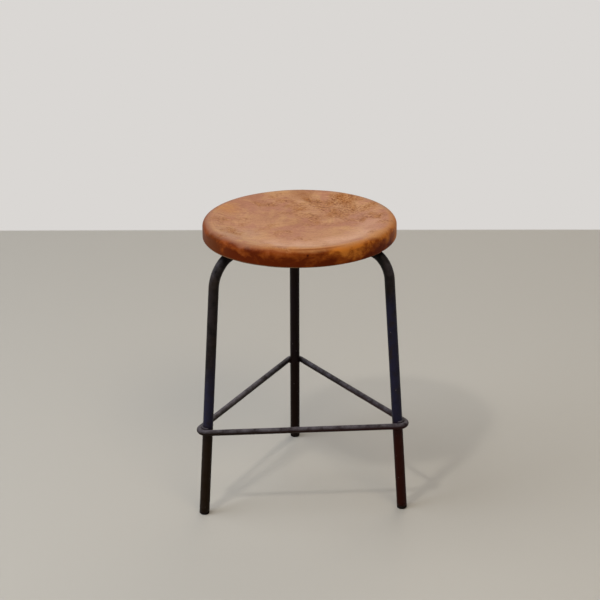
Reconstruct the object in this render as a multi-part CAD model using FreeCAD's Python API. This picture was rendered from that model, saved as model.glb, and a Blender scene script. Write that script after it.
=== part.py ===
import FreeCAD, Part
import math
import os

# A three-legged stool: a dished wooden seat on three bent steel tubes, with a rod ring for the feet.
# Millimetres. +Z is up, z = 0 is the floor, the seat's axis is x = y = 0 and the rear leg points to +Y.

# Seat
overall_height = 460.0
seat_diameter = 300.0
seat_thickness = 28.0
seat_top_rounding = 10.0
seat_bottom_rounding = 3.0
dish_depth = 5.0
dish_slope_width = 40.0
dish_crest_share = 0.3        # share of the slope's width that curves over; the rest curves back to level

# Legs
leg_names = ("rear", "left", "right")
rear_leg_azimuth = 90.0
leg_diameter = 15.9
leg_wall = 1.5
leg_lean_angle = 4.08         # degrees from upright
leg_bend_radius = 40.0        # to the tube's axis
foot_circle_radius = 181.4    # seat's axis to the point where a leg's axis meets the floor
mitre_gap = 0.3               # between two tube ends under the seat's centre

# Hub plate between the tubes and the seat
hub_plate_diameter = 120.0
hub_plate_thickness = 3.2
hub_plate_edge_chamfer = 0.6
hub_root_gap = 0.1            # between the plate and the top of a tube

# Screws that hold the seat to the hub plate
screw_diameter = 4.8
screw_length = 16.0           # under the head
screw_tip_length = 4.0
screw_head_diameter = 9.2
screw_head_height = 3.0
screw_recess_width = 1.0
screw_recess_depth = 1.8
screw_recess_span = 4.8
screw_spread_angle = 18.0     # from the middle of the space between two tubes to each of its two screws
screw_to_plate_edge = 14.0
screw_plate_clearance = 0.3   # all round the screw in the plate
screw_pilot_clearance = 0.1   # all round the screw in the seat
screw_pilot_extra_depth = 1.0

# Foot ring
ring_rod_diameter = 9.5
ring_height = 145.0           # floor to the rod's axis
ring_leg_clearance = 0.15     # between the rod and a leg at a corner

# Weld beads
hub_bead_radius = 3.2
hub_bead_start = 14.0         # from the seat's axis
hub_bead_to_plate_edge = 7.0
seam_bead_radius = 1.8
seam_bead_rise = 45.0         # degrees round the tube's section, past its side, where a seam's arm ends
ring_bead_radius = 2.2
ring_bead_half_angle = 50.0   # each way from the leg's outward side
bead_bite = 0.45              # share of a bead's radius that is melted into each side

# Foot plugs
plug_flange_height = 5.0      # floor to the tube's end, along the leg's axis
plug_edge_rounding = 3.0
plug_under_floor = 0.6        # how far the plug is made below the floor before its foot is cut level
plug_stem_length = 14.0
plug_stem_clearance = 0.35    # between the stem and the tube's bore
plug_barb_clearance = 0.05    # between a barb's crest and the bore
plug_barb_count = 3
plug_stem_chamfer = 1.0

# Places worked out from the sizes above
full_turn = 360.0
quarter_turn = 90.0
leg_spacing = full_turn / len(leg_names)
leg_azimuths = {name: rear_leg_azimuth + number * leg_spacing for number, name in enumerate(leg_names)}
seat_radius = seat_diameter / 2
seat_underside = overall_height - seat_thickness
plate_radius = hub_plate_diameter / 2
plate_underside = seat_underside - hub_plate_thickness
leg_radius = leg_diameter / 2
bore_radius = leg_radius - leg_wall
rod_radius = ring_rod_diameter / 2
lean = math.radians(leg_lean_angle)
run_height = plate_underside - hub_root_gap - leg_radius
bend_centre_height = run_height - leg_bend_radius
bend_end_height = bend_centre_height + leg_bend_radius * math.sin(lean)
bend_end_reach = foot_circle_radius - bend_end_height * math.tan(lean)
bend_centre_reach = bend_end_reach - leg_bend_radius * math.cos(lean)
ring_corner_radius = leg_radius / math.cos(lean) + ring_leg_clearance + rod_radius
screw_circle_radius = plate_radius - screw_to_plate_edge
screw_azimuths = [
    azimuth + leg_spacing / 2 + step
    for azimuth in leg_azimuths.values()
    for step in (-screw_spread_angle, screw_spread_angle)
]

origin = FreeCAD.Vector(0, 0, 0)
x_axis = FreeCAD.Vector(1, 0, 0)
y_axis = FreeCAD.Vector(0, 1, 0)
z_axis = FreeCAD.Vector(0, 0, 1)


def at(x, z):
    return FreeCAD.Vector(x, 0, z)


def toward(azimuth, length):
    """A level vector of this length that points to this azimuth."""
    return FreeCAD.Rotation(z_axis, azimuth).multVec(x_axis) * length


def turned(shape, angle):
    copy = shape.copy()
    copy.rotate(origin, z_axis, angle)
    return copy


def one_solid(shape):
    solids = shape.removeSplitter().Solids
    if len(solids) != 1:
        raise ValueError("expected one solid, got %d" % len(solids))
    return solids[0]


def disc(centre, normal, radius):
    return Part.Face(Part.Wire(Part.makeCircle(radius, centre, normal)))


def arc_about(centre, start, end):
    """The shorter arc from start to end round the centre."""
    middle = start - centre + end - centre
    middle.normalize()
    return Part.Arc(start, centre + middle * (start - centre).Length, end).toShape()


def leg_axis_reach(height):
    return foot_circle_radius - height * math.tan(lean)


# Everything on a leg is made once on a leg that points to +X, and turned to each leg's azimuth.
def leg_bar(radius):
    """A round bar on the leg's axis: level run under the plate, one bend, straight down to the foot plug."""
    run_start = at(0, run_height)
    bend_start = at(bend_centre_reach, run_height)
    bend_centre = at(bend_centre_reach, bend_centre_height)
    bend_end = at(bend_end_reach, bend_end_height)
    down = at(math.sin(lean), -math.cos(lean))
    shank_length = bend_end_height / math.cos(lean) - plug_flange_height
    run = disc(run_start, x_axis, radius).extrude(bend_start - run_start)
    bend = disc(bend_start, x_axis, radius).revolve(bend_centre, y_axis, quarter_turn - leg_lean_angle)
    shank = disc(bend_end, down, radius).extrude(down * shank_length)
    return one_solid(run.fuse([bend, shank]))


def leg_tube():
    """The bar less its bore, with its inner end mitred by two upright planes so that three ends close up."""
    half_spacing = leg_spacing / 2
    apex = at(mitre_gap / 2 / math.sin(math.radians(half_spacing)), 0)
    reach = 2 * (foot_circle_radius + leg_diameter)
    far_corners = [apex + toward(angle, reach) for angle in (-half_spacing, half_spacing)]
    wedge = Part.Face(Part.makePolygon([apex, *far_corners, apex])).extrude(z_axis * overall_height)
    return one_solid(leg_bar(leg_radius).cut(leg_bar(bore_radius)).common(wedge))


def hub_bead(solid_leg, plate):
    """A round-ended bead in the groove between one side of a tube's level run and the plate above it."""
    standoff = hub_bead_radius * (1 - bead_bite)
    height = plate_underside - standoff
    sideways = math.sqrt((leg_radius + standoff) ** 2 - (height - run_height) ** 2)
    first = at(hub_bead_start, 0)
    last = at(plate_radius - hub_bead_to_plate_edge, 0)
    rise = at(0, hub_bead_radius)
    out = at(hub_bead_radius, 0)
    outline = Part.Wire([
        arc_about(first, first - out, first + rise),
        Part.makeLine(first + rise, last + rise),
        arc_about(last, last + rise, last + out),
        Part.makeLine(last + out, first - out),
    ])
    bead = Part.Face(outline).revolve(origin, x_axis, full_turn)
    bead.translate(FreeCAD.Vector(0, -sideways, height))
    return one_solid(bead.cut([solid_leg, plate]))


def hub_seam(solid_legs, plate):
    """A star of three beads that follow the mitres from under the hub's centre up towards the plate."""
    centre = at(0, run_height)
    lowest = at(0, run_height - leg_radius)
    highest = at(0, run_height + leg_radius)
    outward = toward(leg_spacing / 2, 1.0)
    widest = centre + outward * (leg_radius / math.sin(math.radians(leg_spacing / 2)))
    mitre_line = Part.Ellipse(widest, highest, centre)
    path = Part.Arc(mitre_line, math.radians(-quarter_turn), math.radians(seam_bead_rise)).toShape()
    path = Part.Wire(path)
    section = Part.Wire(Part.makeCircle(seam_bead_radius, lowest, outward))
    round_end = Part.makeSphere(seam_bead_radius, path.OrderedVertexes[-1].Point)
    arm = path.makePipeShell([section], True, False).fuse(round_end)
    star = Part.makeSphere(seam_bead_radius, lowest)
    for azimuth in leg_azimuths.values():
        star = star.fuse(turned(arm, azimuth))
    return one_solid(star.cut([*solid_legs, plate]))


def ring_bead(side, solid_leg, ring):
    """A bead round a leg's outward side, in the groove above (side 1) or below (side -1) the rod."""
    standoff = ring_bead_radius * (1 - bead_bite)
    from_leg_axis = leg_radius / math.cos(lean) + standoff
    inward = ring_corner_radius - from_leg_axis
    height = ring_height + side * math.sqrt((rod_radius + standoff) ** 2 - inward ** 2)
    centre = at(leg_axis_reach(height), height)
    first = toward(-ring_bead_half_angle, from_leg_axis)
    last = toward(ring_bead_half_angle, from_leg_axis)
    section = disc(centre + first, z_axis.cross(first), ring_bead_radius)
    bead = section.revolve(centre, z_axis, 2 * ring_bead_half_angle)
    ends = [Part.makeSphere(ring_bead_radius, centre + end) for end in (first, last)]
    return one_solid(bead.fuse(ends).cut([solid_leg, ring]))


def foot_ring():
    """One rod bent round the outside of every leg, with straight sides that leave each corner on a tangent."""
    half_spacing = leg_spacing / 2
    centre = at(leg_axis_reach(ring_height), ring_height)
    first = toward(-half_spacing, ring_corner_radius)
    last = toward(half_spacing, ring_corner_radius)
    corner = disc(centre + first, z_axis.cross(first), rod_radius).revolve(centre, z_axis, leg_spacing)
    side_length = 2 * leg_axis_reach(ring_height) * math.sin(math.radians(half_spacing))
    along = toward(half_spacing + quarter_turn, side_length)
    side = disc(centre + last, along, rod_radius).extrude(along)
    pieces = [turned(piece, azimuth) for azimuth in leg_azimuths.values() for piece in (corner, side)]
    return one_solid(pieces[0].fuse(pieces[1:]))


def seat():
    """A turned round: rounded edges and a dish, whose slope is two arcs that meet on a tangent."""
    top = overall_height
    dish_floor = top - dish_depth
    slope_start = seat_radius - seat_top_rounding
    slope_end = slope_start - dish_slope_width
    slope_angle = 2 * math.atan(dish_depth / dish_slope_width)
    arc_sum = dish_slope_width / math.sin(slope_angle)
    crest_radius = dish_crest_share * arc_sum
    hollow_radius = arc_sum - crest_radius
    slope_middle = at(slope_start - dish_crest_share * dish_slope_width, top - dish_crest_share * dish_depth)
    under_end = at(seat_radius - seat_bottom_rounding, seat_underside)
    side_low = at(seat_radius, seat_underside + seat_bottom_rounding)
    side_high = at(seat_radius, top - seat_top_rounding)
    outline = Part.Wire([
        Part.makeLine(at(0, seat_underside), under_end),
        arc_about(at(under_end.x, side_low.z), under_end, side_low),
        Part.makeLine(side_low, side_high),
        arc_about(at(slope_start, side_high.z), side_high, at(slope_start, top)),
        arc_about(at(slope_start, top - crest_radius), at(slope_start, top), slope_middle),
        arc_about(at(slope_end, dish_floor + hollow_radius), slope_middle, at(slope_end, dish_floor)),
        Part.makeLine(at(slope_end, dish_floor), at(0, dish_floor)),
        Part.makeLine(at(0, dish_floor), at(0, seat_underside)),
    ])
    body = Part.Face(outline).revolve(origin, z_axis, full_turn)
    pilot_radius = screw_diameter / 2 + screw_pilot_clearance
    pilot_depth = screw_length - hub_plate_thickness + screw_pilot_extra_depth
    for azimuth in screw_azimuths:
        mouth = toward(azimuth, screw_circle_radius) + at(0, seat_underside)
        body = body.cut(Part.makeCylinder(pilot_radius, pilot_depth, mouth, z_axis))
    return one_solid(body)


def hub_plate():
    """A round plate with chamfered rims and a hole for each screw."""
    plate = Part.makeCylinder(plate_radius, hub_plate_thickness, at(0, plate_underside), z_axis)
    rims = [edge for edge in plate.Edges if edge.Closed]
    plate = plate.makeChamfer(hub_plate_edge_chamfer, rims)
    hole_radius = screw_diameter / 2 + screw_plate_clearance
    for azimuth in screw_azimuths:
        mouth = toward(azimuth, screw_circle_radius) + at(0, plate_underside)
        plate = plate.cut(Part.makeCylinder(hole_radius, hub_plate_thickness, mouth, z_axis))
    return one_solid(plate)


def seat_screw():
    """A round-head wood screw with a cross recess. It points up, and its head's underside is at z = 0."""
    head_radius = screw_head_diameter / 2
    shank_radius = screw_diameter / 2
    dome_radius = (head_radius ** 2 + screw_head_height ** 2) / (2 * screw_head_height)
    dome_centre = at(0, dome_radius - screw_head_height)
    tip_start = at(shank_radius, screw_length - screw_tip_length)
    outline = Part.Wire([
        Part.makeLine(at(0, screw_length), tip_start),
        Part.makeLine(tip_start, at(shank_radius, 0)),
        Part.makeLine(at(shank_radius, 0), at(head_radius, 0)),
        arc_about(dome_centre, at(head_radius, 0), at(0, -screw_head_height)),
        Part.makeLine(at(0, -screw_head_height), at(0, screw_length)),
    ])
    screw = Part.Face(outline).revolve(origin, z_axis, full_turn)
    corner = FreeCAD.Vector(-screw_recess_span / 2, -screw_recess_width / 2, -screw_head_height)
    slot = Part.makeBox(screw_recess_span, screw_recess_width, screw_recess_depth, corner)
    return one_solid(screw.cut([slot, turned(slot, quarter_turn)]))


def seat_screws():
    screws = []
    for azimuth in screw_azimuths:
        screw = turned(seat_screw(), azimuth)
        screw.translate(toward(azimuth, screw_circle_radius) + at(0, plate_underside))
        screws.append(screw)
    return Part.Compound(screws)


def foot_plug():
    """A plug for a leg's open end: a barbed stem in the bore, and a rounded foot cut level at the floor."""
    stem_radius = bore_radius - plug_stem_clearance
    barb_radius = bore_radius - plug_barb_clearance
    stem_top = plug_flange_height + plug_stem_length
    barb_pitch = (plug_stem_length - plug_stem_chamfer) / plug_barb_count
    rounding_end = at(leg_radius - plug_edge_rounding, -plug_under_floor)
    rounding_start = at(leg_radius, plug_edge_rounding - plug_under_floor)
    corners = [rounding_start, at(leg_radius, plug_flange_height), at(stem_radius, plug_flange_height)]
    for number in range(plug_barb_count):
        barb_top = plug_flange_height + (number + 1) * barb_pitch
        corners.append(at(barb_radius, barb_top - barb_pitch / 2))
        corners.append(at(stem_radius, barb_top))
    corners.append(at(stem_radius - plug_stem_chamfer, stem_top))
    corners.append(at(0, stem_top))
    corners.append(at(0, -plug_under_floor))
    corners.append(rounding_end)
    edges = [arc_about(at(rounding_end.x, rounding_start.z), rounding_end, rounding_start)]
    for start, end in zip(corners, corners[1:]):
        edges.append(Part.makeLine(start, end))
    plug = Part.Face(Part.Wire(edges)).revolve(origin, z_axis, full_turn)
    plug.rotate(origin, y_axis, -leg_lean_angle)
    plug.translate(at(foot_circle_radius, 0))
    corner = FreeCAD.Vector(foot_circle_radius - leg_diameter, -leg_diameter, -leg_diameter)
    under_floor = Part.makeBox(2 * leg_diameter, 2 * leg_diameter, leg_diameter, corner)
    return one_solid(plug.cut(under_floor))


def main():
    tube = leg_tube()
    solid_leg = leg_bar(leg_radius)
    solid_legs = [turned(solid_leg, azimuth) for azimuth in leg_azimuths.values()]
    plug = foot_plug()
    plate = hub_plate()
    bead = hub_bead(solid_leg, plate)
    ring = foot_ring()
    ring_on_x = turned(ring, -rear_leg_azimuth)
    on_each_leg = {
        "leg_%s": tube,
        "foot_plug_%s": plug,
        "hub_weld_%s_1": bead,
        "hub_weld_%s_2": bead.mirror(origin, y_axis),
        "ring_weld_%s_upper": ring_bead(1, solid_leg, ring_on_x),
        "ring_weld_%s_lower": ring_bead(-1, solid_leg, ring_on_x),
    }
    nodes = {
        "seat": seat(),
        "seat_screws": seat_screws(),
        "hub_plate": plate,
        "hub_seam_weld": hub_seam(solid_legs, plate),
        "foot_ring": ring,
    }
    for pattern, shape in on_each_leg.items():
        for name, azimuth in leg_azimuths.items():
            nodes[pattern % name] = turned(shape, azimuth)
    os.makedirs("parts", exist_ok=True)
    for name, shape in nodes.items():
        if not shape.isValid():
            raise ValueError(name + " isn't valid")
        shape.exportStep("parts/%s.step" % name)
        print("%-24s %d solid(s) %10.1f mm3" % (name, len(shape.Solids), shape.Volume))


main()
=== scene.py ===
import math
from functools import partial
import bpy
import numpy as np
from mathutils import Matrix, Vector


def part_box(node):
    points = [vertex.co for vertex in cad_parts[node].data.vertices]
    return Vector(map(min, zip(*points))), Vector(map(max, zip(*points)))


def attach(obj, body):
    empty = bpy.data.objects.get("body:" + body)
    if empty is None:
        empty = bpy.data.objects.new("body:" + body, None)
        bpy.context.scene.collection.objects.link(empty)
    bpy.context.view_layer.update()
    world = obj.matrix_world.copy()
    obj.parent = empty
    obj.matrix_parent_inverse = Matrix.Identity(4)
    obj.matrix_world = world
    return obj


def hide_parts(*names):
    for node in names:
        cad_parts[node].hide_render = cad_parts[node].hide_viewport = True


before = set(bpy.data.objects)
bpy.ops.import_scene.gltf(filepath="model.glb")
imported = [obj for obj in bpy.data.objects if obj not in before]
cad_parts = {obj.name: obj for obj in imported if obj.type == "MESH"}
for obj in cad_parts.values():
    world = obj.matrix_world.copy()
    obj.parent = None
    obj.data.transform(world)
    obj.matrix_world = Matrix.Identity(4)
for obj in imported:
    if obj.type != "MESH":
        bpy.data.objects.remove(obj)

# The scene is in metres: +Z up, floor at z = 0, the seat's axis at x = y = 0, the rear leg towards +Y.
# Sizes in the dictionaries are in millimetres and degrees, as on a drawing.
mm = 0.001
legAzimuths = {"rear": math.radians(90), "left": math.radians(210), "right": math.radians(330)}
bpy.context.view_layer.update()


# Lowest and highest corner of a CAD node, in millimetres
def boxOf(node):
    low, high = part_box(node)
    return np.array(low) / mm, np.array(high) / mm


# A mesh from points (along, around, 3) in millimetres: quads join neighbours, the last column joins the
# first, and each end is closed by a fan to its middle, or joined to the other end. Columns run so that
# faces point outwards.
def gridMesh(name, points, closed=False):
    along, around = points.shape[:2]
    index = np.arange(along * around).reshape(along, around)
    rows = np.arange(along if closed else along - 1)
    row, column = np.meshgrid(rows, np.arange(around), indexing="ij")
    nextRow, nextColumn = (row + 1) % along, (column + 1) % around
    corners = [(row, column), (nextRow, column), (nextRow, nextColumn), (row, nextColumn)]
    faces = np.stack([index[corner] for corner in corners], axis=-1).reshape(-1, 4).tolist()
    vertices = points.reshape(-1, 3)
    if not closed:
        middle = np.full(around, len(vertices))
        vertices = np.vstack([vertices, points[0].mean(axis=0), points[-1].mean(axis=0)])
        start, end = index[0], index[-1]
        faces += np.stack([middle, start, np.roll(start, -1)], axis=-1).tolist()
        faces += np.stack([middle + 1, np.roll(end, -1), end], axis=-1).tolist()
    mesh = bpy.data.meshes.new(name)
    mesh.from_pydata((vertices * mm).tolist(), [], faces)
    mesh.polygons.foreach_set("use_smooth", np.ones(len(mesh.polygons), dtype=bool))
    mesh.update()
    return mesh


# Puts a mesh in the scene on the one body, in place of its CAD node
def addPiece(mesh, material, node):
    piece = bpy.data.objects.new(mesh.name, mesh)
    bpy.context.scene.collection.objects.link(piece)
    mesh.materials.append(material)
    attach(piece, "root")
    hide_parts(node)


# Points turned about the z axis: x' = x cos a - y sin a, y' = x sin a + y cos a
def turned(points, angle):
    cosine, sine = math.cos(angle), math.sin(angle)
    return points @ np.array([[cosine, sine, 0], [-sine, cosine, 0], [0, 0, 1]])


# Points on a circle: centre + radius (cos a, sin a), from one angle to another in degrees
def arc(centre, radius, start, end, count):
    angles = np.radians(np.linspace(start, end, count))
    return np.array(centre) + radius * np.stack([np.cos(angles), np.sin(angles)], axis=-1)


# Points on a straight line, both ends included: start + (end - start) t
def line(start, end, count):
    start, end = np.array(start, dtype=float), np.array(end, dtype=float)
    return start + (end - start) * np.linspace(0, 1, count)[:, None]


# A smooth uneven number from 0 to 1 at each point p: 0.5 + 0.5 tanh(sum / sqrt(terms)), a sum of
# sin(3 p . k / size + shift), with seeded random directions k and shifts
def uneven(points, size, seed, terms=9):
    random = np.random.default_rng(seed)
    total = np.zeros(points.shape[:-1])
    for _ in range(terms):
        along = points @ random.normal(size=points.shape[-1])
        total += np.sin(along * 3 / size + random.uniform(0, 6.3))
    return 0.5 + 0.5 * np.tanh(total / math.sqrt(terms))


# A circle carried along a path (n, 3), square to it: p + R (cos a s + sin a u), where s is path x up,
# and u is square to both. The radius may change along the path.
def carried(path, radius, around, up):
    direction = np.gradient(path, axis=0)
    direction /= np.linalg.norm(direction, axis=1, keepdims=True)
    side = np.cross(direction, up)
    side /= np.linalg.norm(side, axis=1, keepdims=True)
    upward = np.cross(side, direction)
    turn = np.linspace(0, 2 * math.pi, around, endpoint=False)[None, :, None]
    radius = np.broadcast_to(radius, len(path))[:, None, None]
    return path[:, None] + radius * (np.cos(turn) * side[:, None] + np.sin(turn) * upward[:, None])


# An sRGB hex colour as linear red, green, blue and alpha
def linear(hexText):
    values = [int(hexText[place:place + 2], 16) / 255 for place in (1, 3, 5)]
    return [v / 12.92 if v <= 0.04045 else ((v + 0.055) / 1.055) ** 2.4 for v in values] + [1.0]


# The colours of a finish, made linear
def coloursOf(finish):
    return {name: linear(value) for name, value in finish.items() if str(value).startswith("#")}


# Adds a node with its settings, gives each input a value or a link, and returns the output named by out
def addNode(tree, kind, inputs=None, out=0, **settings):
    node = tree.nodes.new("ShaderNode" + kind)
    for name, value in settings.items():
        setattr(node, name, value)
    for key, value in (inputs or {}).items():
        if isinstance(value, bpy.types.NodeSocket):
            tree.links.new(value, node.inputs[key])
        else:
            node.inputs[key].default_value = value
    return node.outputs[out] if node.outputs else None


# A new material, and the function that adds nodes to it
def newMaterial(name):
    material = bpy.data.materials.new(name)
    material.use_nodes = True
    material.node_tree.nodes.clear()
    return material, partial(addNode, material.node_tree)


# Where a point is on its object, in millimetres
def placeInMm(add):
    place = add("TexCoord", out="Object")
    return add("VectorMath", {0: place, "Scale": 1 / mm}, operation="SCALE")


# How far a value is from a number, either way
def apart(add, value, number):
    value = add("Math", {0: value, 1: number}, operation="SUBTRACT")
    return add("Math", {0: value}, operation="ABSOLUTE")


# How near a place is to a point, from 0 where its distance begins to count
def nearness(add, place, point, counted, **settings):
    away = add("VectorMath", {0: place, 1: point}, operation="DISTANCE", out="Value")
    return add("MapRange", {"Value": away, **counted}, **settings)


# How a Mix node mixes two colours, and its sockets
asColours = {"out": 2, "data_type": "RGBA"}
factor, first, second = 0, 6, 7

# How a Map Range node eases in and out. It gives least where its value begins, and most where it is
# full, which are 0 and 1 if they aren't given.
smoothly = {"interpolation_type": "SMOOTHSTEP"}
begins, full, least, most = "From Min", "From Max", "To Min", "To Max"

# Waxed maple, turned and stained chestnut: soft tan and rose clouds over long fibres and faint lathe
# rings, burls with dark flecks and pale veins, a dish paler on its front slope, where the wax is thinner
# and a sheen is painted, a rim with a painted sheen at the left and behind, and a side that soaked up
# stain, where the curl shows as orange flames, and with a painted sheen at its ends
wood = {
    "pale": "#c8996e",
    "red": "#b27b60",
    "dark": "#54290f",
    "wornAndSheen": "#d1a487",
    "dusty": "#bc987c",
    "rim": "#b87c47",
    "rimSheenLeft": "#946650",
    "rimSheenBehind": "#a38064",
    "rimLine": "#7d3d1c",
    "rose": "#b07c65",
    "gold": "#c88c4c",
    "burl": "#a46b3c",
    "fleck": "#743c1c",
    "vein": "#d3a475",
    "side": "#5b1f03",
    "sideSheenLeft": "#632f0d",
    "sideMiddle": "#833c0f",
    "flameAndSheen": "#c8762a",
    "flameLeft": "#9a5a36",
    "knot": "#3c1206",
    "raw": "#9a7450",
    "grainTurn": 7.0,                 # degrees from left to right
    "bendSize": 70.0,                 # how far apart the grain's bends are
    "bendDepth": 26.0,
    "cloudSize": 62.0,
    # Size along x, y and z, and how the noise is set. Real fibres are under 0.1 wide and real pores half
    # as wide as these, which wouldn't show.
    "grainPatterns": {
        "curl": ((11.0, 30.0, 11.0), {"Detail": 3.0, "Roughness": 0.5}),
        "streak": ((26.0, 4.5, 4.5), {"Detail": 3.0, "Distortion": 0.5}),
        "fibre": ((42.0, 1.5, 1.5), {"Detail": 3.0, "Roughness": 0.6}),
        "pore": ((5.0, 0.6, 0.6), {"Detail": 1.0}),
    },
    "ringWidth": 3.5,                 # lathe rings, drawn three times as wide as real ones
    "ringWander": 1.5,                # in ring widths
    "burlSize": 26.0,                 # how far apart the small burls are
    "fleckSize": 4.0,
    "veinSize": 13.0,
    "burls": (                        # x, y, reach and strength
        (58.0, 58.0, 116.0, 0.27),
        (-30.0, 92.0, 50.0, 0.13),
        (-106.0, -42.0, 30.0, 0.24),
        (108.0, -60.0, 16.0, 0.16),
    ),
    "burlCore": 0.2,                  # share of the reach that has all the strength
    "spotCore": 0.1,
    "spots": (                        # x, y, reach, strength and colour
        (-7.0, -10.0, 28.0, 0.5, "rimLine"),
        (-50.0, 20.0, 40.0, 0.35, "rimLine"),
        (6.0, 126.0, 34.0, 0.9, "rimLine"),
        (98.0, 4.0, 56.0, 1.2, "rose"),
        (-62.0, 6.0, 50.0, 0.9, "rose"),
        (0.0, -80.0, 80.0, 1.0, "rose"),
        (84.0, 104.0, 26.0, 1.3, "gold"),
        (-110.0, 62.0, 34.0, 1.0, "gold"),
        (-50.0, -117.0, 20.0, 1.3, "gold"),
        (-14.0, -130.0, 16.0, 1.3, "gold"),
        (112.0, -78.0, 30.0, 1.0, "gold"),
        (-96.0, -54.0, 54.0, 1.0, "dusty"),
    ),
    "paleBand": (-16.0, 140.0, 42.0, 25.0),                # x and y of its ends
    "paleBandAcross": {begins: 19.0, full: 2.0},
    "behind": {begins: -5.0, full: 55.0},                  # y of what counts as the back of the seat
    "wornAndSheenInside": {begins: 80.0, full: 106.0},             # radii where the paler slope starts, with thinner wax and a painted sheen
    "wornAndSheenOutside": {begins: 138.0, full: 116.0},           # radii where it ends
    "wornAndSheenToFront": {begins: 70.0, full: -110.0},           # y
    "wornAndSheenFromLeft": {begins: -95.0, full: -35.0},          # x
    "wornAndSheenPatch": 34.0,
    "rimFrom": {begins: 135.0, full: 143.5},               # radii
    "rimLineRadius": 143.8,
    "rimLineEdge": {begins: 2.4, full: 0.4},
    "rimLineMiddle": 14.0,                                 # x
    "rimLineReach": {begins: 62.0, full: 14.0},
    "flameSizes": (21.0, 21.0, 14.0),
    "flamePlace": (70.0, -132.0, 453.0),
    "flameReach": {begins: 42.0, full: 10.0},
    "flameLeftToRight": {begins: -60.0, full: 30.0},       # x where flames turn from brown to orange
    "sideUpward": {begins: 436.0, full: 458.0},            # heights where the side gets lighter
    "sideLeftToRight": {begins: -120.0, full: 140.0},      # x where it does
    "sideSheenRightEnd": {begins: 132.0, full: 147.0},
    "sideSheenLeftEnd": {begins: -100.0, full: -144.0},
    "sideTop": {begins: 468.5, full: 460.5},               # heights, with the wander added
    "sideWander": 16.0,
    "sideFrom": {begins: 140.0, full: 147.0},              # radii
    "knotPlace": (4.8, -149.8, 450.8),
    "knotSize": {begins: 2.4, full: 0.8},
    "undersideFrom": {begins: 433.5, full: 432.3},
    "reliefDepth": 0.12,
}


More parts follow.
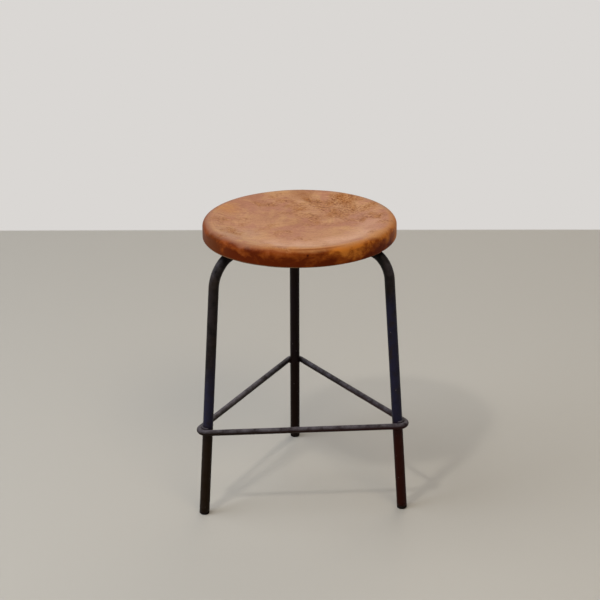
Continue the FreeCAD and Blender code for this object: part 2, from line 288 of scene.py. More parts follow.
def makeWood():
    material, add = newMaterial("waxed turned maple")
    hue = coloursOf(wood)
    inMm = placeInMm(add)
    sideways = add("SeparateXYZ", {0: inMm}, out="X")
    rearward = add("SeparateXYZ", {0: inMm}, out="Y")
    height = add("SeparateXYZ", {0: inMm}, out="Z")
    level = add("VectorMath", {0: inMm, 1: (1, 1, 0)}, operation="MULTIPLY")
    radius = add("VectorMath", {0: level}, operation="LENGTH", out="Value")

    # Slow bends that all the grain shares
    turn = (0, 0, math.radians(wood["grainTurn"]))
    grain = add("Mapping", {"Vector": inMm, "Rotation": turn})
    bend = add("TexNoise", {
        "Vector": grain, "Scale": 1 / wood["bendSize"], "Detail": 1.5,
    }, out="Color")
    bend = add("VectorMath", {0: bend, 1: (0.5, 0.5, 0.5)}, operation="SUBTRACT")
    bend = add("VectorMath", {0: bend, "Scale": wood["bendDepth"]}, operation="SCALE")
    bent = add("VectorMath", {0: grain, 1: bend}, operation="ADD")
    patterns = {}
    for name, (sizes, noise) in wood["grainPatterns"].items():
        counts = [1 / size for size in sizes]
        place = add("VectorMath", {0: bent, 1: counts}, operation="MULTIPLY")
        patterns[name] = add("TexNoise", {"Vector": place, "Scale": 1.0, **noise})
    curl, streak, fibre = patterns["curl"], patterns["streak"], patterns["fibre"]

    # Clouds of tan and rose, with a little curl
    cloud = add("TexNoise", {
        "Vector": bent, "Scale": 1 / wood["cloudSize"],
        "Detail": 5.0, "Roughness": 0.55, "Distortion": 0.5,
    })
    tone = add("Math", {0: cloud, 1: 0.55}, operation="MULTIPLY")
    tone = add("Math", {0: curl, 1: 0.2, 2: tone}, operation="MULTIPLY_ADD")
    tone = add("Math", {0: streak, 1: 0.25, 2: tone}, operation="MULTIPLY_ADD")
    tone = add("MapRange", {"Value": tone, begins: 0.44, full: 0.56})
    colour = add("Mix", {factor: tone, first: hue["red"], second: hue["pale"]}, **asColours)

    # Fibres, and the rings that the lathe left
    weight = add("MapRange", {"Value": fibre, begins: 0.48, full: 0.78, most: 0.46})
    colour = add("Mix", {factor: weight, first: colour, second: hue["dark"]}, **asColours)
    turns = add("Math", {0: radius, 1: 1 / wood["ringWidth"]}, operation="MULTIPLY")
    turns = add("Math", {0: cloud, 1: wood["ringWander"], 2: turns}, operation="MULTIPLY_ADD")
    rings = add("TexNoise", {"W": turns, "Scale": 1.0, "Detail": 2.0}, noise_dimensions="1D")
    weight = add("MapRange", {"Value": rings, begins: 0.50, full: 0.75, most: 0.12})
    colour = add("Mix", {factor: weight, first: colour, second: hue["dark"]}, **asColours)

    # A paler band of straight grain: how far a point is from the line x = x0 + (y - y0) slope
    x0, y0, x1, y1 = wood["paleBand"]
    slant = (x1 - x0) / (y1 - y0)
    across = add("Math", {0: rearward, 1: -slant, 2: sideways}, operation="MULTIPLY_ADD")
    across = apart(add, across, x0 - y0 * slant)
    band = add("MapRange", {"Value": across, **wood["paleBandAcross"]}, **smoothly)
    behind = add("MapRange", {"Value": rearward, **wood["behind"]}, **smoothly)
    band = add("Math", {0: band, 1: behind}, operation="MULTIPLY")
    weight = add("Math", {0: band, 1: cloud}, operation="MULTIPLY")
    weight = add("Math", {0: weight, 1: 0.8}, operation="MULTIPLY")
    colour = add("Mix", {factor: weight, first: colour, second: hue["vein"]}, **asColours)

    # Spots that are darker, rosier, dustier or more golden than the rest
    wandering = add("VectorMath", {0: inMm, 1: bend}, operation="ADD")
    wandering = add("VectorMath", {0: wandering, 1: (1, 1, 0)}, operation="MULTIPLY")
    for x, y, reach, strength, tint in wood["spots"]:
        counted = {begins: reach, full: reach * wood["spotCore"], most: strength}
        weight = nearness(add, wandering, (x, y, 0.0), counted, **smoothly)
        weight = add("Math", {0: weight, 1: streak}, operation="MULTIPLY")
        colour = add("Mix", {factor: weight, first: colour, second: hue[tint]}, **asColours)

    # Paler patches on the front slope: wax thinned by sitting, and a painted sheen
    rise = add("MapRange", {"Value": radius, **wood["wornAndSheenInside"]}, **smoothly)
    fall = add("MapRange", {"Value": radius, **wood["wornAndSheenOutside"]}, **smoothly)
    front = add("MapRange", {"Value": rearward, **wood["wornAndSheenToFront"], least: 0.1}, **smoothly)
    patch = add("TexNoise", {"Vector": level, "Scale": 1 / wood["wornAndSheenPatch"], "Detail": 4.0})
    patch = add("MapRange", {"Value": patch, begins: 0.40, full: 0.60, least: 0.4, most: 0.9})
    fromLeft = add("MapRange", {"Value": sideways, **wood["wornAndSheenFromLeft"]}, **smoothly)
    weight = rise
    for share in (fall, front, patch, fromLeft):
        weight = add("Math", {0: weight, 1: share}, operation="MULTIPLY")
    colour = add("Mix", {factor: weight, first: colour, second: hue["wornAndSheen"]}, **asColours)

    # Darker and redder where the rim turns down, and a painted sheen that makes it greyer at the left
    # and behind
    rim = {factor: behind, first: hue["rim"], second: hue["rimSheenBehind"]}
    rim = add("Mix", rim, **asColours)
    rim = add("Mix", {factor: fromLeft, first: hue["rimSheenLeft"], second: rim}, **asColours)
    weight = add("MapRange", {"Value": radius, **wood["rimFrom"], most: 0.9}, **smoothly)
    colour = add("Mix", {factor: weight, first: colour, second: rim}, **asColours)

    # A dark line round the rim at the front
    line = apart(add, radius, wood["rimLineRadius"])
    line = add("MapRange", {"Value": line, **wood["rimLineEdge"], most: 0.8})
    middle = apart(add, sideways, wood["rimLineMiddle"])
    middle = add("MapRange", {"Value": middle, **wood["rimLineReach"]}, **smoothly)
    weight = add("Math", {0: line, 1: front}, operation="MULTIPLY")
    weight = add("Math", {0: weight, 1: middle}, operation="MULTIPLY")
    colour = add("Mix", {factor: weight, first: colour, second: hue["rimLine"]}, **asColours)

    # Burls: golden brown, with dark flecks and pale veins
    burl = add("TexNoise", {"Vector": grain, "Scale": 1 / wood["burlSize"], "Detail": 3.0})
    for x, y, reach, strength in wood["burls"]:
        counted = {begins: reach, full: reach * wood["burlCore"], most: strength}
        near = nearness(add, wandering, (x, y, 0.0), counted, **smoothly)
        burl = add("Math", {0: burl, 1: near}, operation="ADD")
    burl = add("Math", {0: band, 1: -0.08, 2: burl}, operation="MULTIPLY_ADD")
    burl = add("MapRange", {"Value": burl, begins: 0.56, full: 0.78, least: 0.12})
    weight = add("MapRange", {"Value": curl, begins: 0.30, full: 0.62, least: 0.25})
    weight = add("Math", {0: burl, 1: weight}, operation="MULTIPLY")
    colour = add("Mix", {factor: weight, first: colour, second: hue["burl"]}, **asColours)
    vein = add("TexNoise", {
        "Vector": inMm, "Scale": 1 / wood["veinSize"], "Detail": 2.0, "Distortion": 1.2,
    })
    vein = apart(add, vein, 0.5)
    vein = add("MapRange", {"Value": vein, begins: 0.05, full: 0.0, most: 0.5})
    weight = add("Math", {0: vein, 1: burl}, operation="MULTIPLY")
    colour = add("Mix", {factor: weight, first: colour, second: hue["vein"]}, **asColours)
    fleck = add("TexNoise", {
        "Vector": bent, "Scale": 1 / wood["fleckSize"], "Detail": 1.5, "Distortion": 0.6,
    })
    fleck = add("Math", {0: streak, 1: 0.35, 2: fleck}, operation="MULTIPLY_ADD")
    fleck = add("MapRange", {"Value": fleck, begins: 0.64, full: 0.84, most: 0.85})
    weight = add("Math", {0: fleck, 1: burl}, operation="MULTIPLY")
    colour = add("Mix", {factor: weight, first: colour, second: hue["fleck"]}, **asColours)

    # Pores
    pore = add("MapRange", {"Value": patterns["pore"], begins: 0.63, full: 0.72, most: 0.4})
    top = add("Mix", {factor: pore, first: colour, second: hue["dark"]}, **asColours)

    # Side: dark with stain, lighter towards the rim and the right, with flames of curl at the front
    # right, and a painted sheen that lightens the right end and makes the left end a little lighter and
    # browner
    counts = [1 / size for size in wood["flameSizes"]]
    place = add("VectorMath", {0: inMm, 1: counts}, operation="MULTIPLY")
    flameAndSheen = add("TexNoise", {
        "Vector": place, "Scale": 1.0, "Detail": 4.0, "Roughness": 0.6, "Distortion": 0.4,
    })
    flameAndSheen = add("MapRange", {"Value": flameAndSheen, begins: 0.08, full: 0.92}, clamp=False)
    flameAndSheen = add("Math", {0: streak, 1: 0.3, 2: flameAndSheen}, operation="MULTIPLY_ADD")
    flameAndSheen = add("Math", {0: flameAndSheen, 1: 0.15}, operation="SUBTRACT")
    near = nearness(add, inMm, wood["flamePlace"], {**wood["flameReach"], most: 0.24}, **smoothly)
    flameAndSheen = add("Math", {0: flameAndSheen, 1: near}, operation="ADD")
    # Lifts towards the rim and the right; the lift at the right end is a painted sheen
    lighter = (
        ({"Value": height, **wood["sideUpward"], least: -0.12, most: 0.18}, {}),
        ({"Value": sideways, **wood["sideLeftToRight"], least: -0.09, most: 0.10}, {}),
        ({"Value": sideways, **wood["sideSheenRightEnd"], most: 0.30}, smoothly),
    )
    for inputs, settings in lighter:
        more = add("MapRange", inputs, **settings)
        flameAndSheen = add("Math", {0: flameAndSheen, 1: more}, operation="ADD")
    sheenLeftEnd = add("MapRange", {"Value": sideways, **wood["sideSheenLeftEnd"]}, **smoothly)
    side = {factor: sheenLeftEnd, first: hue["side"], second: hue["sideSheenLeft"]}
    side = add("Mix", side, **asColours)
    weight = add("MapRange", {"Value": flameAndSheen, begins: 0.36, full: 0.66}, **smoothly)
    side = add("Mix", {factor: weight, first: side, second: hue["sideMiddle"]}, **asColours)
    toRight = add("MapRange", {"Value": sideways, **wood["flameLeftToRight"]})
    orange = {factor: toRight, first: hue["flameLeft"], second: hue["flameAndSheen"]}
    orange = add("Mix", orange, **asColours)
    weight = add("MapRange", {"Value": flameAndSheen, begins: 0.60, full: 1.0}, **smoothly)
    side = add("Mix", {factor: weight, first: side, second: orange}, **asColours)
    weight = nearness(add, inMm, wood["knotPlace"], wood["knotSize"])
    side = add("Mix", {factor: weight, first: side, second: hue["knot"]}, **asColours)

    # The side's stain stops at an uneven height on the rim's rounding
    edge = add("Math", {0: cloud, 1: wood["sideWander"], 2: height}, operation="MULTIPLY_ADD")
    down = add("MapRange", {"Value": edge, **wood["sideTop"]}, **smoothly)
    outer = add("MapRange", {"Value": radius, **wood["sideFrom"]}, **smoothly)
    weight = add("Math", {0: down, 1: outer}, operation="MULTIPLY")
    colour = add("Mix", {factor: weight, first: top, second: side}, **asColours)

    # Underside: bare turned wood, unwaxed
    under = add("MapRange", {"Value": height, **wood["undersideFrom"]})
    bare = add("Mix", {factor: fibre, first: hue["raw"], second: hue["dark"]}, **asColours)
    colour = add("Mix", {factor: under, first: colour, second: bare}, **asColours)

    # Relief: open grain, pores and the lathe rings
    relief = add("Math", {0: fibre, 1: pore}, operation="SUBTRACT")
    relief = add("Math", {0: rings, 1: 0.5, 2: relief}, operation="MULTIPLY_ADD")
    bump = {"Height": relief, "Strength": 0.35, "Distance": wood["reliefDepth"] * mm}
    bump = add("Bump", bump)
    rough = {"Value": cloud, begins: 0.3, full: 0.7, least: 0.38, most: 0.54}
    rough = add("MapRange", rough)
    shader = add("BsdfPrincipled", {
        "Base Color": colour, "Roughness": rough, "Normal": bump,
        "IOR": 1.5, "Specular IOR Level": 0.04,
    })
    add("OutputMaterial", {"Surface": shader})
    return material


# Black stove enamel on steel tube, gone satin with age: neutral black at the bends, blue-black below
# them, brown where it has thinned below the ring, darkest on the rear leg and deep black up under the
# seat as painted shade, with a fine orange peel, a few pale chips, and grey on upward faces from shoe
# wear and a painted highlight
paint = {
    "paintedSeatShade": "#050201",
    "black": "#0f0c0a",
    "bloom": "#261f1e",
    "cool": "#201f33",
    "lowLeft": "#1c1003",
    "lowRight": "#290700",
    "rear": "#140601",
    "thin": "#271c10",
    "rubAndHighlight": "#6a656a",
    "chip": "#7d7874",
    "paintedSeatShadeFrom": {begins: 408.0, full: 426.0},         # heights of the painted shade up under the seat
    "lowFrom": {begins: 155.0, full: 139.0},               # heights
    "coolFrom": {begins: 321.0, full: 271.0},              # heights
    "coolSlant": -0.42,        # the blue goes higher on the right leg than on the left
    "coolWander": 90.0,
    "leftToRight": {begins: -100.0, full: 100.0},          # x
    "rearShadeFrom": {begins: 40.0, full: 80.0},                # y
    "driftSize": 60.0,
    "patchSize": 24.0,
    "peelSize": 2.4,
    "wearSize": 11.0,
    "chipSize": 9.0,
}


# From 0 to 1, rubbed is how grey the upward faces are, worn and painted as a highlight, and blueness is
# how much blue-black there is.
# relief is the peel's height in millimetres.
def makePaint(name, rubAndHighlight, blueness, relief):
    material, add = newMaterial(name)
    hue = coloursOf(paint)
    inMm = placeInMm(add)
    sideways = add("SeparateXYZ", {0: inMm}, out="X")
    rearward = add("SeparateXYZ", {0: inMm}, out="Y")
    height = add("SeparateXYZ", {0: inMm}, out="Z")

    # Neutral black with a grey bloom
    wear = add("TexNoise", {
        "Vector": inMm, "Scale": 1 / paint["wearSize"], "Detail": 5.0, "Roughness": 0.65,
    })
    weight = add("MapRange", {"Value": wear, begins: 0.32, full: 0.60})
    upper = {factor: weight, first: hue["black"], second: hue["bloom"]}
    upper = add("Mix", upper, **asColours)

    # Blue-black in patches up to a slanting height, and thinner, browner patches
    drift = add("TexNoise", {"Vector": inMm, "Scale": 1 / paint["driftSize"], "Detail": 3.0})
    drift = add("Math", {0: drift, 1: 0.5}, operation="SUBTRACT")
    level = {0: drift, 1: paint["coolWander"], 2: height}
    level = add("Math", level, operation="MULTIPLY_ADD")
    level = {0: sideways, 1: paint["coolSlant"], 2: level}
    level = add("Math", level, operation="MULTIPLY_ADD")
    cool = add("MapRange", {"Value": level, **paint["coolFrom"]}, **smoothly)
    patch = add("TexNoise", {
        "Vector": inMm, "Scale": 1 / paint["patchSize"], "Detail": 4.0, "Roughness": 0.6,
    })
    some = add("MapRange", {"Value": patch, begins: 0.38, full: 0.55, least: 0.35})
    cool = add("Math", {0: cool, 1: some}, operation="MULTIPLY")
    cool = add("Math", {0: cool, 1: blueness}, operation="MULTIPLY")
    upper = add("Mix", {factor: cool, first: upper, second: hue["cool"]}, **asColours)
    thin = add("MapRange", {"Value": patch, begins: 0.56, full: 0.68, most: 0.7})
    upper = add("Mix", {factor: thin, first: upper, second: hue["thin"]}, **asColours)

    # Painted shade: deep black up under the seat
    paintedSeatShade = {"Value": height, **paint["paintedSeatShadeFrom"]}
    paintedSeatShade = add("MapRange", paintedSeatShade, **smoothly)
    upper = {factor: paintedSeatShade, first: upper, second: hue["paintedSeatShade"]}
    upper = add("Mix", upper, **asColours)

    # Brown below the ring and redder to the right; darkest at the rear, a painted shade
    toRight = add("MapRange", {"Value": sideways, **paint["leftToRight"]})
    lower = {factor: toRight, first: hue["lowLeft"], second: hue["lowRight"]}
    lower = add("Mix", lower, **asColours)
    weight = add("MapRange", {"Value": height, **paint["lowFrom"]}, **smoothly)
    colour = add("Mix", {factor: weight, first: upper, second: lower}, **asColours)
    weight = {"Value": rearward, **paint["rearShadeFrom"], most: 0.9}
    weight = add("MapRange", weight, **smoothly)
    colour = add("Mix", {factor: weight, first: colour, second: hue["rear"]}, **asColours)

    # Grey on what faces up, a painted highlight and wear, more where it has worn, but not in the painted
    # shade up under the seat
    normal = add("NewGeometry", out="Normal")
    up = add("SeparateXYZ", {0: normal}, out="Z")
    up = add("MapRange", {"Value": up, begins: 0.0, full: 0.9, most: rubAndHighlight})
    wornAndSheen = add("MapRange", {"Value": wear, begins: 0.30, full: 0.62})
    wornAndSheen = add("Math", {0: wornAndSheen, 1: up}, operation="MULTIPLY")
    outOfPaintedShade = add("Math", {0: 1.0, 1: paintedSeatShade}, operation="SUBTRACT")
    wornAndSheen = add("Math", {0: wornAndSheen, 1: outOfPaintedShade}, operation="MULTIPLY")
    colour = add("Mix", {factor: wornAndSheen, first: colour, second: hue["rubAndHighlight"]}, **asColours)

    # Chips
    speck = {"Vector": inMm, "Scale": 1 / paint["chipSize"]}
    speck = add("TexVoronoi", speck, out="Distance")
    chip = add("MapRange", {"Value": speck, begins: 0.085, full: 0.05})
    some = add("MapRange", {"Value": wear, begins: 0.52, full: 0.58, most: 0.7})
    chip = add("Math", {0: chip, 1: some}, operation="MULTIPLY")
    colour = add("Mix", {factor: chip, first: colour, second: hue["chip"]}, **asColours)

    # Orange peel, with the chips sunk in it
    peel = add("TexNoise", {"Vector": inMm, "Scale": 1 / paint["peelSize"], "Detail": 2.0})
    peel = add("Math", {0: peel, 1: chip}, operation="SUBTRACT")
    bump = add("Bump", {"Height": peel, "Strength": 0.5, "Distance": relief * mm})
    rough = {"Value": wear, begins: 0.3, full: 0.7, least: 0.32, most: 0.50}
    rough = add("MapRange", rough)
    shader = add("BsdfPrincipled", {
        "Base Color": colour, "Roughness": rough, "Normal": bump,
        "IOR": 1.5, "Specular IOR Level": 0.08,
    })
    add("OutputMaterial", {"Surface": shader})
    return material


# Moulded black rubber, matt, with dust and scuffs from the floor
rubber = {
    "black": "#150d07",
    "dust": "#2e241b",
    "dustSize": 3.0,
    "dustFrom": {begins: 2.5, full: 0.0},    # heights
    "scuffDepth": 0.08,
}


def makeRubber():
    material, add = newMaterial("moulded black rubber")
    hue = coloursOf(rubber)
    inMm = placeInMm(add)
    height = add("SeparateXYZ", {0: inMm}, out="Z")
    scuff = add("TexNoise", {"Vector": inMm, "Scale": 1 / rubber["dustSize"], "Detail": 5.0})
    low = add("MapRange", {"Value": height, **rubber["dustFrom"], most: 0.5})
    weight = add("MapRange", {"Value": scuff, begins: 0.45, full: 0.7})
    weight = add("Math", {0: weight, 1: low}, operation="MULTIPLY")
    colour = {factor: weight, first: hue["black"], second: hue["dust"]}
    colour = add("Mix", colour, **asColours)
    bump = {"Height": scuff, "Strength": 0.3, "Distance": rubber["scuffDepth"] * mm}
    bump = add("Bump", bump)
    shader = add("BsdfPrincipled", {
        "Base Color": colour, "Roughness": 0.7, "Normal": bump, "IOR": 1.5, "Specular IOR Level": 0.08,
    })
    add("OutputMaterial", {"Surface": shader})
    return material


# Zinc plated steel gone dull: pale grey metal with a soft, cloudy shine
zinc = {"grey": "#a8a49b", "grainSize": 0.5, "grainDepth": 0.03}


def makeZinc():
    material, add = newMaterial("dulled zinc plate")
    hue = coloursOf(zinc)
    inMm = placeInMm(add)
    grain = add("TexNoise", {"Vector": inMm, "Scale": 1 / zinc["grainSize"], "Detail": 3.0})
    rough = add("MapRange", {"Value": grain, least: 0.28, most: 0.52})
    bump = {"Height": grain, "Strength": 0.2, "Distance": zinc["grainDepth"] * mm}
    bump = add("Bump", bump)
    shader = add("BsdfPrincipled", {
        "Base Color": hue["grey"], "Metallic": 1.0, "Roughness": rough, "Normal": bump,
    })
    add("OutputMaterial", {"Surface": shader})
    return material


woodMaterial = makeWood()
tubePaint = makePaint("satin black enamel", rubAndHighlight=0.45, blueness=1.0, relief=0.05)
ringPaint = makePaint("satin black enamel, shoe-rubbed with a painted highlight", rubAndHighlight=0.8, blueness=0.2, relief=0.05)
weldPaint = makePaint("satin black enamel over weld", rubAndHighlight=0.6, blueness=0.4, relief=0.25)
rubberMaterial = makeRubber()
zincMaterial = makeZinc()
print("materials made")

seat = {
    "topRounding": 10.0,
    "bottomRounding": 3.0,
    "dishDepth": 5.0,
    "dishSlopeWidth": 40.0,
    "dishCrestShare": 0.3,
    "innermost": 0.4,          # the first circle's radius
    "steps": (60, 26, 14, 18, 10, 9, 16),      # of the profile's parts, from the dish's floor on
    "around": 384,
    "wavyBy": 0.25,            # how far in from true the hand sanding goes
    "wavySize": 60.0,
    "low": 0.99,               # how far it sits under its true height, in the middle
    "tip": 0.0066,             # how much lower than that for each millimetre to the left
    "toRight": 0.6,
    "heldTo": 118.0,           # the underside is true out to here, where the plate and the legs are
    "freeFrom": 140.0,
}


# A profile (r, h) spun round the z axis: x = r cos a, y = r sin a, z = h. From the middle outwards it
# is the dish's floor, two arcs up to the rim, a rounding, the side, a smaller rounding and the flat
# underside. Each point then moves in along its normal by an uneven part of a quarter of a millimetre,
# but not on the underside. As in the photo, the seat sits low - tip x under its true place, all but the
# middle of the underside, where that fades by the smooth step t^2 (3 - 2 t).
def makeSeat():
    low, high = boxOf("seat")
    rim, top, under = high[0], high[2], low[2]
    rimStart = rim - seat["topRounding"]
    dishEdge = rimStart - seat["dishSlopeWidth"]
    dishFloor = top - seat["dishDepth"]
    slope = 2 * math.atan(seat["dishDepth"] / seat["dishSlopeWidth"])
    bothRadii = seat["dishSlopeWidth"] / math.sin(slope)
    crest = seat["dishCrestShare"] * bothRadii
    hollow = bothRadii - crest
    steepest = math.degrees(slope)
    sideTop, sideFoot = top - seat["topRounding"], under + seat["bottomRounding"]
    footEdge = rim - seat["bottomRounding"]
    steps = seat["steps"]
    profile = np.vstack([
        line((seat["innermost"], dishFloor), (dishEdge, dishFloor), steps[0])[:-1],
        arc((dishEdge, dishFloor + hollow), hollow, -90, -90 + steepest, steps[1])[:-1],
        arc((rimStart, top - crest), crest, 90 + steepest, 90, steps[2])[:-1],
        arc((rimStart, sideTop), seat["topRounding"], 90, 0, steps[3])[:-1],
        line((rim, sideTop), (rim, sideFoot), steps[4])[:-1],
        arc((footEdge, sideFoot), seat["bottomRounding"], 0, -90, steps[5])[:-1],
        line((footEdge, under), (seat["innermost"], under), steps[6]),
    ])
    along = np.gradient(profile, axis=0)
    normal = np.stack([-along[:, 1], along[:, 0]], axis=-1)
    normal /= np.linalg.norm(normal, axis=1, keepdims=True)
    angle = np.linspace(0, 2 * math.pi, seat["around"], endpoint=False)
    spin = np.stack([np.cos(angle), np.sin(angle)], axis=-1)
    points = np.empty((len(profile), seat["around"], 3))
    points[..., :2] = profile[:, None, :1] * spin
    points[..., 2] = profile[:, 1:]
    flat = profile[:, 1] < under + 0.01      # with room for rounding errors
    wavy = seat["wavyBy"] * uneven(points, seat["wavySize"], seed=4)[..., None]
    wavy[flat] = 0.0
    points[..., :2] -= wavy * normal[:, None, :1] * spin
    points[..., 2:] -= wavy * normal[:, None, 1:]
    share = np.hypot(points[..., 0], points[..., 1]) - seat["heldTo"]
    share = np.clip(share / (seat["freeFrom"] - seat["heldTo"]), 0, 1)
    share = share ** 2 * (3 - 2 * share)
    share[~flat] = 1.0
    points[..., 2] -= share * (seat["low"] - seat["tip"] * points[..., 0])
    points[..., 0] += seat["toRight"]
    return gridMesh("seat_round", points)


addPiece(makeSeat(), woodMaterial, "seat")
print("seat made")

leg = {
    "lean": 4.08,
    "bendRadii": {"rear": 54.0, "left": 60.0, "right": 50.0},      # bent by hand, so all differ
    "crownShare": 0.62,        # the last part of the bend is that much tighter
    "crownFrom": 43.0,         # degrees up from level where it tightens
    "crownLift": 3.15,         # how much higher the bend goes than the run under the hub
    "footCircle": 181.4,
    "mitreGap": 0.3,
    "mitreAngle": 60.0,
    "mitreSteps": 6,           # how many circles share the mitre's slant
    "runSteps": 20,
    "climbSteps": 16,
    "crownSteps": 18,
    "bendSteps": 20,
    "shankSteps": 70,
    "around": 48,
    "plugHeight": 5.0,
    "plugRounding": 3.0,
    "plugSteps": 12,
    "plugUnderFloor": 0.6,
}
legLow, legHigh = boxOf("leg_rear")
tubeRadius = (legHigh[0] - legLow[0]) / 2
runHeight = legHigh[2] - tubeRadius
lean = math.radians(leg["lean"])
wrapRadius = tubeRadius / math.cos(lean)       # of the tube's level cross-section, the long way


# How far the leg's axis is from the seat's axis at a height
def legReach(height):
    return leg["footCircle"] - height * math.tan(lean)


# A circle carried along the leg's axis: level under the plate, up to the seat by the smooth step
# t^2 (3 - 2 t), down through a tight arc and a wider one, and straight to the floor. The first circles
# slide along the run by |y| / tan 60, so that three legs meet at the middle in mitres.
def makeLeg(name, azimuth, bendRadius):
    crownRadius = leg["crownShare"] * bendRadius
    crownFrom = math.radians(leg["crownFrom"])
    crownTop = runHeight + leg["crownLift"]
    crownFoot = crownTop - crownRadius * (1 - math.sin(crownFrom))
    bendFoot = crownFoot - bendRadius * (math.sin(crownFrom) - math.sin(lean))
    centre = (legReach(bendFoot) - bendRadius * math.cos(lean), bendFoot - bendRadius * math.sin(lean))
    bend = arc(centre, bendRadius, leg["crownFrom"], leg["lean"], leg["bendSteps"])
    centre = (bend[0][0] - crownRadius * math.cos(crownFrom), crownTop - crownRadius)
    crown = arc(centre, crownRadius, 90, leg["crownFrom"], leg["crownSteps"])
    mitre = math.radians(leg["mitreAngle"])
    tip = leg["mitreGap"] / 2 / math.sin(mitre)
    plateEdge = boxOf("hub_plate")[1][0]
    climb = line((plateEdge, 0), (crown[0][0], 1), leg["climbSteps"])
    climb[:, 1] = runHeight + leg["crownLift"] * climb[:, 1] ** 2 * (3 - 2 * climb[:, 1])
    upward = np.array([-math.sin(lean), math.cos(lean)])
    axis = np.vstack([
        line((tip, runHeight), (plateEdge, runHeight), leg["runSteps"])[:-1],
        climb[:-1],
        crown[:-1],
        bend[:-1],
        line(bend[-1], np.array([legReach(0), 0]) + leg["plugHeight"] * upward, leg["shankSteps"]),
    ])
    path = np.stack([axis[:, 0], np.zeros(len(axis)), axis[:, 1]], axis=-1)
    tube = carried(path, tubeRadius, leg["around"], (0, 1, 0))
    slide = np.zeros(len(path))
    slide[:leg["mitreSteps"]] = np.linspace(1, 0, leg["mitreSteps"])
    tube[..., 0] += slide[:, None] * np.abs(tube[..., 1]) / math.tan(mitre)
    return gridMesh(name, turned(tube, azimuth))


# A rounded profile spun round the leg's axis and leaned with it, x' = x cos l - z sin l and
# z' = x sin l + z cos l, with all that is under the floor lifted to it
def makePlug(name, azimuth):
    rounding = leg["plugRounding"]
    centre = (tubeRadius - rounding, rounding - leg["plugUnderFloor"])
    corner = arc(centre, rounding, -90, 0, leg["plugSteps"])
    profile = np.vstack([corner, [[tubeRadius, leg["plugHeight"]]]])
    turn = np.linspace(0, 2 * math.pi, leg["around"], endpoint=False)
    spun = np.empty((len(profile), leg["around"], 3))
    spun[..., 0] = profile[:, :1] * np.cos(turn)
    spun[..., 1] = profile[:, :1] * np.sin(turn)
    spun[..., 2] = profile[:, 1:]
    x = spun[..., 0] * math.cos(lean) - spun[..., 2] * math.sin(lean) + legReach(0)
    z = spun[..., 0] * math.sin(lean) + spun[..., 2] * math.cos(lean)
    leaned = np.stack([x, spun[..., 1], np.maximum(z, 0)], axis=-1)
    return gridMesh(name, turned(leaned[:, ::-1], azimuth))


ringLow, ringHigh = boxOf("foot_ring")
ring = {
    "rodRadius": (ringHigh[2] - ringLow[2]) / 2,
    "height": (ringHigh[2] + ringLow[2]) / 2,
    "low": 0.2,                # how far it was welded under its true height, in the middle
    "tip": 0.009,              # how much lower than that for each millimetre to the left
    "legClearance": 0.15,
    "cornerHalfAngle": 60.0,
    "around": 32,
    "sideSteps": 60,
    "cornerSteps": 20,
}
cornerRadius = wrapRadius + ring["legClearance"] + ring["rodRadius"]


# The height of the rod's axis: H - low + tip x
def ringHeight(x):
    return ring["height"] - ring["low"] + ring["tip"] * x


# A circle carried round a closed, nearly level path: a third of a turn about each leg, then a tangent
# to the next. The path is run three times so that the directions at its join are right, and the middle
# run is kept.
def makeRing():
    reach, half = legReach(ring["height"]), ring["cornerHalfAngle"]
    corners = []
    for azimuth in legAzimuths.values():
        centre, middle = (reach * math.cos(azimuth), reach * math.sin(azimuth)), math.degrees(azimuth)
        corners.append(arc(centre, cornerRadius, middle - half, middle + half, ring["cornerSteps"]))
    parts = []
    for corner, following in zip(corners, corners[1:] + corners[:1]):
        parts += [corner, line(corner[-1], following[0], ring["sideSteps"])[1:-1]]
    level = np.vstack(parts)
    path = np.tile(np.column_stack([level, ringHeight(level[:, 0])]), (3, 1))
    rod = carried(path, ring["rodRadius"], ring["around"], (0, 0, 1))
    return gridMesh("foot_ring_rod", rod[len(level):2 * len(level)], closed=True)


bead = {
    "bite": 0.45,              # share of its radius that it sinks into what it joins
    "puddle": 2.4,             # from one ripple of the weld to the next
    "rippleDepth": 0.14,       # share of the radius
    "unevenSize": 8.0,
    "bluntness": 0.01,         # the least t, so that no end comes to a point
    "around": 20,
    "hubRadius": 3.2,
    "hubStart": 14.0,
    "hubToPlateEdge": 7.0,
    "hubSteps": 120,
    "ringRadius": 2.2,
    "ringHalfAngle": 50.0,
    "ringSteps": 70,
}


# A circle carried along a path, with radius R sqrt(1 - t^2) over the last R of length at each end,
# where t runs to 1, times 1 - depth |sin(pi s / puddle)| for the ripples, times an uneven number from
# 0.9 to 1
def makeBead(name, path, radius, azimuth, seed):
    step = np.linalg.norm(np.diff(path, axis=0), axis=1)
    length = np.concatenate([[0], np.cumsum(step)])
    toEnd = np.clip(np.minimum(length, length[-1] - length) / radius, bead["bluntness"], 1)
    size = radius * np.sqrt(1 - (1 - toEnd) ** 2)
    size *= 1 - bead["rippleDepth"] * np.abs(np.sin(math.pi * length / bead["puddle"]))
    size *= 0.9 + 0.1 * uneven(path, bead["unevenSize"], seed)
    surface = carried(path, size, bead["around"], (0, 0, 1))
    return gridMesh(name, turned(surface, azimuth))


# A bead's path along the leg's run, in the corner between the tube and the plate. side is 1 or -1.
def hubPath(side):
    plateLow, plateHigh = boxOf("hub_plate")
    standoff = bead["hubRadius"] * (1 - bead["bite"])
    height = plateLow[2] - standoff
    sideways = -side * math.sqrt((tubeRadius + standoff) ** 2 - (height - runHeight) ** 2)
    start = bead["hubStart"] - bead["hubRadius"]
    end = plateHigh[0] - bead["hubToPlateEdge"] + bead["hubRadius"]
    return line((start, sideways, height), (end, sideways, height), bead["hubSteps"])


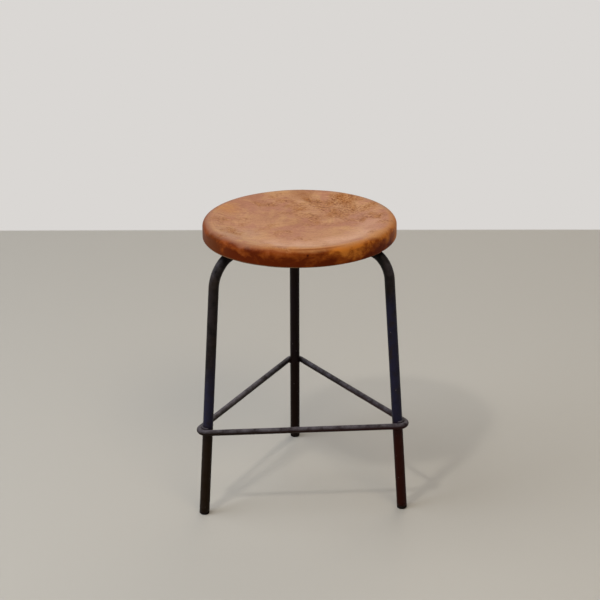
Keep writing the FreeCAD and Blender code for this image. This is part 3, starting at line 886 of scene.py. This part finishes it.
# A bead's path round the outside of the leg, in the corner between it and the ring. side is 1 or -1.
def ringBeadPath(side, azimuth):
    standoff = bead["ringRadius"] * (1 - bead["bite"])
    around = wrapRadius + standoff
    rise = math.sqrt((ring["rodRadius"] + standoff) ** 2 - (cornerRadius - around) ** 2)
    height = ringHeight(legReach(ring["height"]) * math.cos(azimuth)) + side * rise
    half = bead["ringHalfAngle"] + math.degrees(bead["ringRadius"] / around)
    level = arc((legReach(height), 0), around, -half, half, bead["ringSteps"])
    return np.column_stack([level, np.full(bead["ringSteps"], height)])


seed = 10
for legName, azimuth in legAzimuths.items():
    tube = makeLeg("leg_tube_" + legName, azimuth, leg["bendRadii"][legName])
    addPiece(tube, tubePaint, "leg_" + legName)
    plug = makePlug("foot_tip_" + legName, azimuth)
    addPiece(plug, rubberMaterial, "foot_plug_" + legName)
    for number, side in (("_1", 1), ("_2", -1)):
        seed += 1
        mesh = makeBead("hub_bead_" + legName + number, hubPath(side), bead["hubRadius"], azimuth, seed)
        addPiece(mesh, weldPaint, "hub_weld_" + legName + number)
    for word, side in (("_upper", 1), ("_lower", -1)):
        seed += 1
        path = ringBeadPath(side, azimuth)
        mesh = makeBead("ring_bead_" + legName + word, path, bead["ringRadius"], azimuth, seed)
        addPiece(mesh, weldPaint, "ring_weld_" + legName + word)
addPiece(makeRing(), ringPaint, "foot_ring")
print("legs, ring and beads made")

# The plate, its middle weld and the screws keep their CAD shapes
keptShapes = {"hub_plate": tubePaint, "hub_seam_weld": weldPaint, "seat_screws": zincMaterial}
for nodeName, material in keptShapes.items():
    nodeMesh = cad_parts[nodeName].data
    nodeMesh.materials.clear()
    nodeMesh.materials.append(material)

studio = {
    "floor": "#bbb7ad",
    "wall": "#dad7d4",
    "sky": "#eef0f4",
    "skyStrength": 0.30,
    "dimFront": 0.30,          # what polished things see of the room in front, next to the wall behind
    "dimBetween": {begins: -0.2, full: 0.9},     # y of the directions that get less dim
    "floorSize": 30000.0,
    "wallFrom": 1266.0,        # how far out the floor ends, for the camera
    "wallBlend": 8.0,
    "wallPower": 8.0,          # how square the floor's edge is
    "wallTurn": 3.5,           # degrees, so that the wall's foot is level in the picture
    "lampsAim": 0.3,           # metres up
    "lamps": {                 # place in metres, size in metres, watts, colour
        "ceiling": ((-2.1, -0.1, 3.6), 2.8, 62.0, "#f2f7ff"),
        "key": ((-1.01, -1.40, 3.0), 0.22, 19.0, "#fffaf2"),
        "front right": ((0.75, -2.0, 3.0), 1.2, 24.0, "#ffedd4"),
        "rear": ((1.2, 2.6, 2.6), 2.0, 20.0, "#ffeeda"),
        "left side": ((-3.0, -0.8, 1.8), 2.0, 36.0, "#dfe9ff"),
    },
}


# 1 for what is seen, straight or in a reflection or through glass, and 0 for light on rough things
def seenDirectly(add):
    camera = add("LightPath", out="Is Camera Ray")
    glossy = add("LightPath", out="Is Glossy Ray")
    glass = add("LightPath", out="Is Transmission Ray")
    seen = add("Math", {0: camera, 1: glossy}, operation="MAXIMUM")
    return add("Math", {0: seen, 1: glass}, operation="MAXIMUM")


# A plain floor. The camera, and what is polished, see it turn to the wall's colour at the edge of a
# square with round corners: (x^8 + y^8)^(1/8) is the distance.
def makeFloor():
    half = studio["floorSize"] / 2 * mm
    mesh = bpy.data.meshes.new("floor")
    corners = [(-half, -half, 0), (half, -half, 0), (half, half, 0), (-half, half, 0)]
    mesh.from_pydata(corners, [], [(0, 1, 2, 3)])
    floor = bpy.data.objects.new("floor", mesh)
    bpy.context.scene.collection.objects.link(floor)
    material, add = newMaterial("plain painted floor")
    place = add("TexCoord", out="Object")
    turn = (0, 0, math.radians(studio["wallTurn"]))
    place = add("Mapping", {"Vector": place, "Rotation": turn})
    x = add("SeparateXYZ", {0: place}, out="X")
    y = add("SeparateXYZ", {0: place}, out="Y")
    x = add("Math", {0: x, 1: studio["wallPower"]}, operation="POWER")
    y = add("Math", {0: y, 1: studio["wallPower"]}, operation="POWER")
    distance = add("Math", {0: x, 1: y}, operation="ADD")
    distance = add("Math", {0: distance, 1: 1 / studio["wallPower"]}, operation="POWER")
    wallTo = studio["wallFrom"] + studio["wallBlend"]
    far = add("MapRange", {
        "Value": distance, begins: studio["wallFrom"] * mm, full: wallTo * mm,
    }, **smoothly)
    far = add("Math", {0: far, 1: seenDirectly(add)}, operation="MULTIPLY")
    near = add("BsdfPrincipled", {"Base Color": linear(studio["floor"]), "Roughness": 0.6})
    wall = add("Emission", {"Color": linear(studio["wall"])})
    surface = add("MixShader", {0: far, 1: near, 2: wall})
    add("OutputMaterial", {"Surface": surface})
    mesh.materials.append(material)


# An even sky for light, and the wall's colour to look at, dimmer towards the front in reflections
def makeWorld():
    world = bpy.data.worlds.new("studio")
    bpy.context.scene.world = world
    world.use_nodes = True
    world.node_tree.nodes.clear()
    add = partial(addNode, world.node_tree)
    direction = add("TexCoord", out="Generated")
    rearward = add("SeparateXYZ", {0: direction}, out="Y")
    dim = add("MapRange", {
        "Value": rearward, **studio["dimBetween"], least: studio["dimFront"],
    }, **smoothly)
    camera = add("LightPath", out="Is Camera Ray")
    strength = add("Math", {0: dim, 1: camera}, operation="MAXIMUM")
    wall = add("Background", {"Color": linear(studio["wall"]), "Strength": strength})
    sky = {"Color": linear(studio["sky"]), "Strength": studio["skyStrength"]}
    sky = add("Background", sky)
    surface = add("MixShader", {0: seenDirectly(add), 1: sky, 2: wall})
    add("OutputWorld", {"Surface": surface})


# A square soft box that faces the stool
def addLamp(name, place, size, power, colour):
    lamp = bpy.data.lights.new(name, "AREA")
    lamp.size = size
    lamp.energy = power
    lamp.color = linear(colour)[:3]
    holder = bpy.data.objects.new(name, lamp)
    bpy.context.scene.collection.objects.link(holder)
    x, y, z = place[0], place[1], place[2] - studio["lampsAim"]
    holder.location = place
    holder.rotation_euler = (math.atan2(math.hypot(x, y), z), 0, math.atan2(x, -y))


makeFloor()
makeWorld()
for lampName, (place, size, power, colour) in studio["lamps"].items():
    addLamp(lampName, place, size, power, colour)
bpy.context.scene.view_settings.view_transform = "Standard"
print("studio made")

# The photograph's camera, worked out from the outlines of the stool in it
view = {
    "distance": 2534.7,        # level, from the seat's axis
    "height": 1315.2,
    "standing": 2.836,         # degrees to the left of straight in front
    "aim": 2.853,              # degrees that it is turned to the right
    "pitch": 21.38,            # degrees down
    "roll": -0.304,
    "focalLength": 104.05,
    "frameWidth": 36.0,
    "farthest": 50.0,          # metres
}


def makeCamera():
    camera = bpy.data.cameras.new("photo")
    camera.lens = view["focalLength"]
    camera.sensor_width = view["frameWidth"]
    camera.clip_end = view["farthest"]
    holder = bpy.data.objects.new("photo", camera)
    bpy.context.scene.collection.objects.link(holder)
    standing, distance = math.radians(view["standing"]), view["distance"] * mm
    x, y = -distance * math.sin(standing), -distance * math.cos(standing)
    look = Matrix.Rotation(-math.radians(view["aim"]), 4, "Z")
    look = look @ Matrix.Rotation(math.radians(90 - view["pitch"]), 4, "X")
    look = look @ Matrix.Rotation(math.radians(view["roll"]), 4, "Z")
    holder.matrix_world = Matrix.Translation((x, y, view["height"] * mm)) @ look
    bpy.context.scene.camera = holder


makeCamera()
